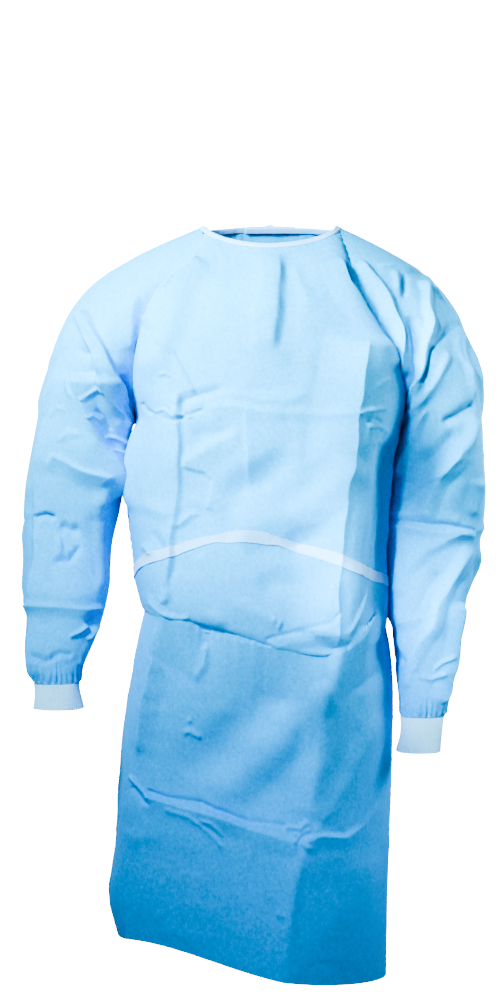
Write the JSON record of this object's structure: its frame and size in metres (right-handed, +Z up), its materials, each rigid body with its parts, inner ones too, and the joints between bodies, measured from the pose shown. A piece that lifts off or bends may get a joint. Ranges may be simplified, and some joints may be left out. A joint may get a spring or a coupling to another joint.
{
  "type": "isolation gown",
  "caption": "Knee-length gown of thin blue nonwoven cloth with long raglan sleeves, knitted cuffs, a bound round neck, a tied belt and an overlapped open back, in its worn form.",
  "frame": {"origin": "middle of the neck opening, level with the two points beside the neck where the gown rests on the shoulders", "axes": "+Z up along the wearer, -Y towards the front, +X towards the wearer's left"},
  "size_m": [0.7139, 0.3572, 1.1672],
  "materials": {
    "nonwoven": "matt, slightly satin nonwoven with fine fibres, pale where the light strikes it",
    "tape": "matt pale blue nonwoven tape",
    "knit": "soft white ribbed knit"
  },
  "bodies": {
    "root": {"front_panel": "nonwoven", "back_right_panel": "nonwoven", "back_left_panel": "nonwoven", "sleeve_right": "nonwoven", "sleeve_left": "nonwoven", "cuff_right": "knit", "cuff_left": "knit", "neck_binding": "tape", "neck_knot": "tape", "neck_tail_right": "tape", "neck_tail_left": "tape", "belt_middle": "tape", "belt_right": "tape", "belt_left": "tape", "belt_knot": "tape", "belt_tail_right": "tape", "belt_tail_left": "tape"}
  },
  "joints": []
}
